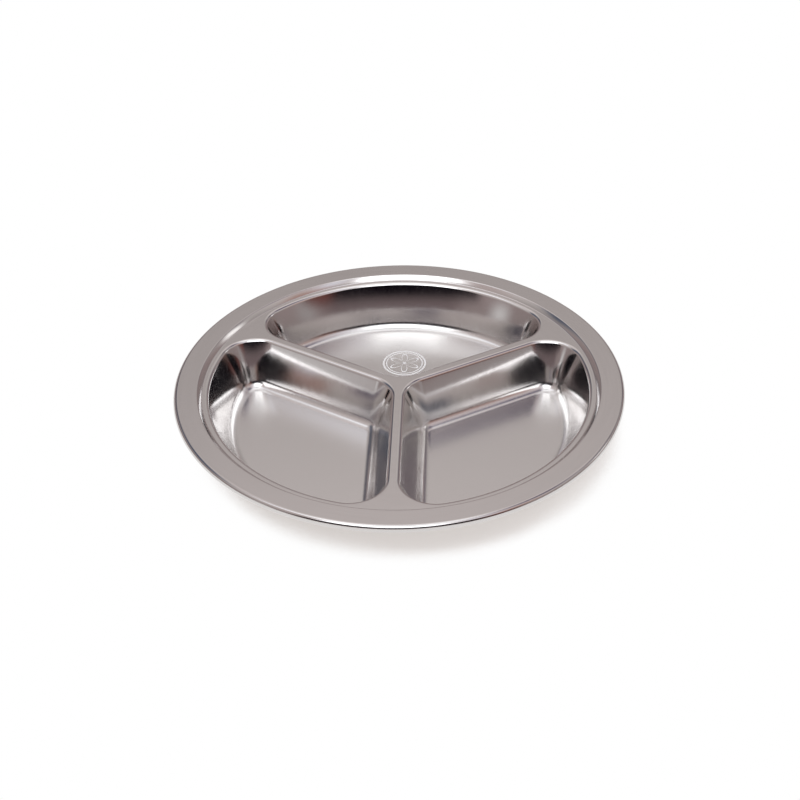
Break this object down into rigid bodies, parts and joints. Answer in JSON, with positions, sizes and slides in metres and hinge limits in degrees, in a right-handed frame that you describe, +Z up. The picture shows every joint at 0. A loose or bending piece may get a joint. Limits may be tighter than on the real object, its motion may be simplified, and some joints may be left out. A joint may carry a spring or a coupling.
{
  "type": "divided compartment plate",
  "caption": "Round satin steel plate with a rolled edge, flat rim, stepped ledge and drafted food compartments parted by a flat-topped web.",
  "frame": {"origin": "on the plate's axis at the level of the face it rests on", "axes": "+Z up along the plate's axis; +Y through the middle of the back compartment; the front divider runs along -Y"},
  "size_m": [0.26, 0.26, 0.0308],
  "materials": {
    "rim_steel": "satin",
    "web_steel": "satin",
    "compartment_steel": "soft polished satin"
  },
  "bodies": {
    "root": {"rolled_edge": "rim_steel", "rim_flange": "rim_steel", "step_wall": "rim_steel", "divider_web": "web_steel", "back_compartment": "compartment_steel", "left_compartment": "compartment_steel", "right_compartment": "compartment_steel"}
  },
  "joints": []
}
